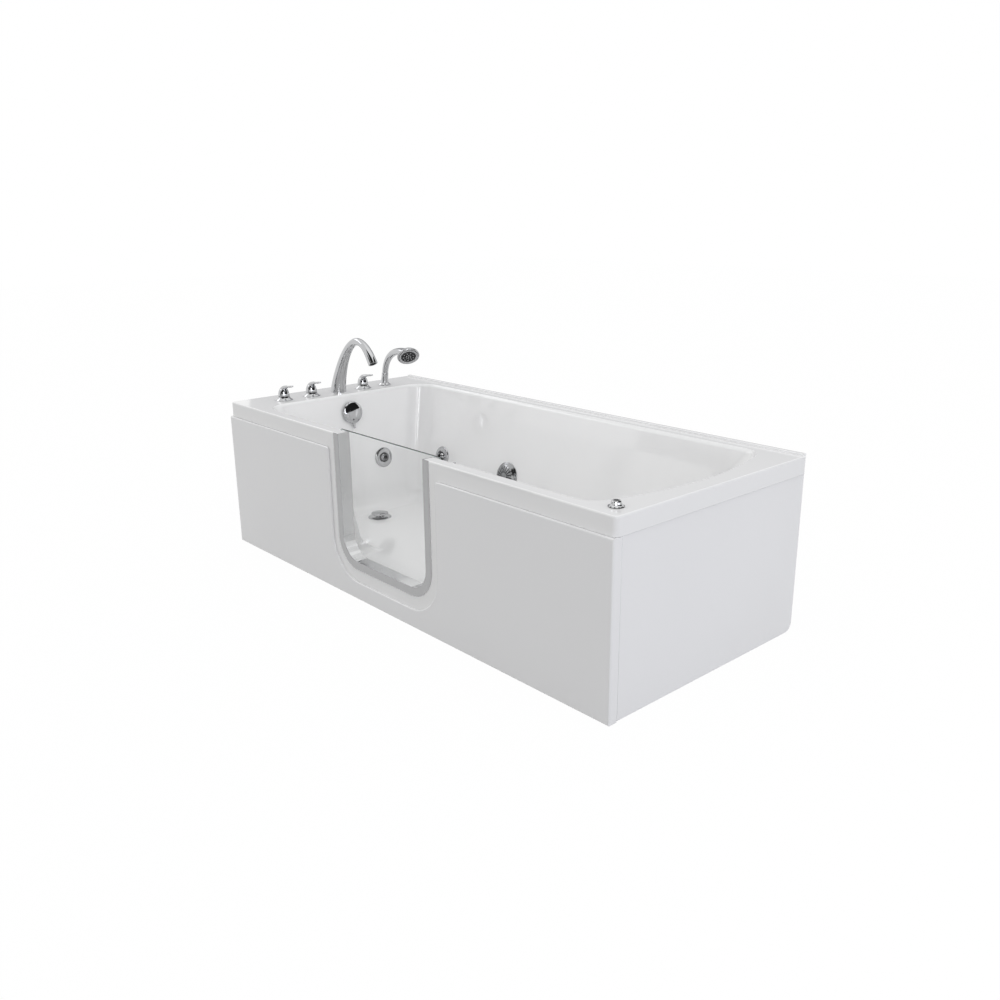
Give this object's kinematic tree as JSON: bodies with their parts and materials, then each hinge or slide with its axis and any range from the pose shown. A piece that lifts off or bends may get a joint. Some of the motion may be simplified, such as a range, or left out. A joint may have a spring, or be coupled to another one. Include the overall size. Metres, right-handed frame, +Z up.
{
  "type": "walk-in bathtub",
  "caption": "Walk-in jetted bathtub: panelled acrylic basin with a low glass door that swings inward, lever taps, arched spout, hand shower and pop-up waste.",
  "frame": {"origin": "on the floor under the middle of the tub's overall box", "axes": "+X from the tap end to the backrest end, -Y the door side, +Z up"},
  "size_m": [1.83, 0.797, 0.7388],
  "materials": {
    "acrylic": "gloss",
    "panel_acrylic": "gloss",
    "board": "satin",
    "frame_paint": "satin",
    "zinc": "satin",
    "stainless": "brushed",
    "chrome": "polished",
    "door_glass": "clear",
    "seal_rubber": "matte",
    "brass": "satin",
    "copper_pipe": "satin",
    "white_pvc": "satin",
    "black_plastic": "matte",
    "foot_plastic": "matte"
  },
  "bodies": {
    "tub": {"tub_shell": "acrylic", "front_panel": "panel_acrylic", "end_panel": "panel_acrylic", "base_board": "board", "panel_brackets": "zinc", "base_rails": "frame_paint", "cross_bars": "frame_paint", "frame_posts": "frame_paint", "top_rails": "frame_paint", "frame_bolts": "zinc", "foot_locknuts": "zinc", "door_frame": "stainless", "door_clamp_frame": "stainless", "door_seal": "seal_rubber", "hinge_brackets": "stainless", "hinge_pins": "chrome", "latch_base": "stainless", "spout": "chrome", "aerator": "zinc", "deck_nuts": "brass", "tap_covers": "chrome", "valve_bodies": "brass", "shower_holder": "chrome", "tap_pipes": "copper_pipe", "overflow_elbow": "white_pvc", "drain_flange": "chrome", "waste_pipe": "white_pvc", "jet_rings": "chrome", "jet_bodies": "white_pvc", "suction_cover": "chrome", "suction_body": "white_pvc", "pump_motor": "black_plastic", "pump_housing": "black_plastic", "jet_pipes": "white_pvc", "air_valve": "white_pvc"},
    "door": {"door_glass": "door_glass", "hinge_clamps": "stainless", "hinge_backplates": "stainless", "hinge_screws": "chrome"},
    "latch": {"latch_lever": "chrome"},
    "hot": {"hot_lever": "chrome"},
    "cold": {"cold_lever": "chrome"},
    "diverter": {"diverter_lever": "chrome"},
    "hose_end": {"hose_nut": "chrome"},
    "shower": {"hand_shower": "chrome", "shower_face": "black_plastic"},
    "overflow": {"overflow_knob": "chrome"},
    "stopper": {"drain_stopper": "chrome"},
    "jet_a": {"foot_jet_front": "chrome"},
    "jet_b": {"foot_jet_back": "chrome"},
    "jet_c": {"back_jet": "chrome"},
    "jet_d": {"front_jet": "chrome"},
    "impeller": {"pump_impeller": "black_plastic"},
    "air": {"air_knob": "chrome"},
    "foot_fl": {"foot_front_left": "foot_plastic"},
    "foot_fm": {"foot_front_middle": "foot_plastic"},
    "foot_fr": {"foot_front_right": "foot_plastic"},
    "foot_bl": {"foot_back_left": "foot_plastic"},
    "foot_bm": {"foot_back_middle": "foot_plastic"},
    "foot_br": {"foot_back_right": "foot_plastic"}
  },
  "joints": [
    {"name": "door_swing", "type": "hinge", "parent": "tub", "child": "door", "pos_m": [-0.277, -0.3375, 0.3], "axis": [0, 0, 1], "range_deg": [0, 95]},
    {"name": "latch_turn", "type": "hinge", "parent": "tub", "child": "latch", "pos_m": [0.266, -0.3385, 0.465], "axis": [0, 1, 0], "range_deg": [-90, 0]},
    {"name": "hot_turn", "type": "hinge", "parent": "tub", "child": "hot", "pos_m": [-0.812, -0.234, 0.545], "axis": [0, 0, 1], "range_deg": [-90, 0]},
    {"name": "cold_turn", "type": "hinge", "parent": "tub", "child": "cold", "pos_m": [-0.812, -0.12, 0.545], "axis": [0, 0, 1], "range_deg": [0, 90]},
    {"name": "diverter_turn", "type": "hinge", "parent": "tub", "child": "diverter", "pos_m": [-0.812, 0.107, 0.545], "axis": [0, 0, 1], "range_deg": [-90, 0]},
    {"name": "shower_lift", "type": "slide", "parent": "tub", "child": "hose_end", "axis": [0.1736, 0, 0.9848], "range_m": [0, 0.06]},
    {"name": "shower_swivel", "type": "hinge", "parent": "hose_end", "child": "shower", "pos_m": [-0.80332, 0.207, 0.57424], "axis": [0.1736, 0, 0.9848], "range_deg": [-90, 90]},
    {"name": "overflow_turn", "type": "hinge", "parent": "tub", "child": "overflow", "pos_m": [-0.73213, -0.004, 0.457], "axis": [0.9903, 0, 0.1392], "range_deg": [-90, 0]},
    {"name": "stopper_drop", "type": "slide", "parent": "tub", "child": "stopper", "axis": [0, 0, 1], "range_m": [-0.008, 0]},
    {"name": "foot_jet_front_tilt", "type": "hinge", "parent": "tub", "child": "jet_a", "pos_m": [-0.70755, -0.124, 0.26772], "axis": [0, 1, 0], "range_deg": [-15, 15]},
    {"name": "foot_jet_back_tilt", "type": "hinge", "parent": "tub", "child": "jet_b", "pos_m": [-0.70755, 0.116, 0.26772], "axis": [0, 1, 0], "range_deg": [-15, 15]},
    {"name": "back_jet_tilt", "type": "hinge", "parent": "tub", "child": "jet_c", "pos_m": [-0.56, 0.28838, 0.26758], "axis": [1, 0, 0], "range_deg": [-15, 15]},
    {"name": "front_jet_tilt", "type": "hinge", "parent": "tub", "child": "jet_d", "pos_m": [-0.56, -0.29638, 0.26758], "axis": [1, 0, 0], "range_deg": [-15, 15]},
    {"name": "impeller_spin", "type": "hinge", "parent": "tub", "child": "impeller", "pos_m": [0.70666, 0.1235, 0.147], "axis": [0, 1, 0], "continuous": true},
    {"name": "air_knob_turn", "type": "hinge", "parent": "tub", "child": "air", "pos_m": [0.862, -0.3325, 0.53], "axis": [0, 0, 1], "range_deg": [0, 180]},
    {"name": "foot_front_left_thread", "type": "hinge", "parent": "tub", "child": "foot_fl", "pos_m": [-0.81, -0.3665, 0.02], "axis": [0, 0, 1], "range_deg": [-360, 360]},
    {"name": "foot_front_middle_thread", "type": "hinge", "parent": "tub", "child": "foot_fm", "pos_m": [0, -0.3665, 0.02], "axis": [0, 0, 1], "range_deg": [-360, 360]},
    {"name": "foot_front_right_thread", "type": "hinge", "parent": "tub", "child": "foot_fr", "pos_m": [0.81, -0.3665, 0.02], "axis": [0, 0, 1], "range_deg": [-360, 360]},
    {"name": "foot_back_left_thread", "type": "hinge", "parent": "tub", "child": "foot_bl", "pos_m": [-0.81, 0.3735, 0.02], "axis": [0, 0, 1], "range_deg": [-360, 360]},
    {"name": "foot_back_middle_thread", "type": "hinge", "parent": "tub", "child": "foot_bm", "pos_m": [0, 0.3735, 0.02], "axis": [0, 0, 1], "range_deg": [-360, 360]},
    {"name": "foot_back_right_thread", "type": "hinge", "parent": "tub", "child": "foot_br", "pos_m": [0.81, 0.3735, 0.02], "axis": [0, 0, 1], "range_deg": [-360, 360]}
  ],
  "couplings": [
    {"joint": "stopper_drop", "follows": "overflow_turn", "m_per_rad": 0.005093}
  ]
}
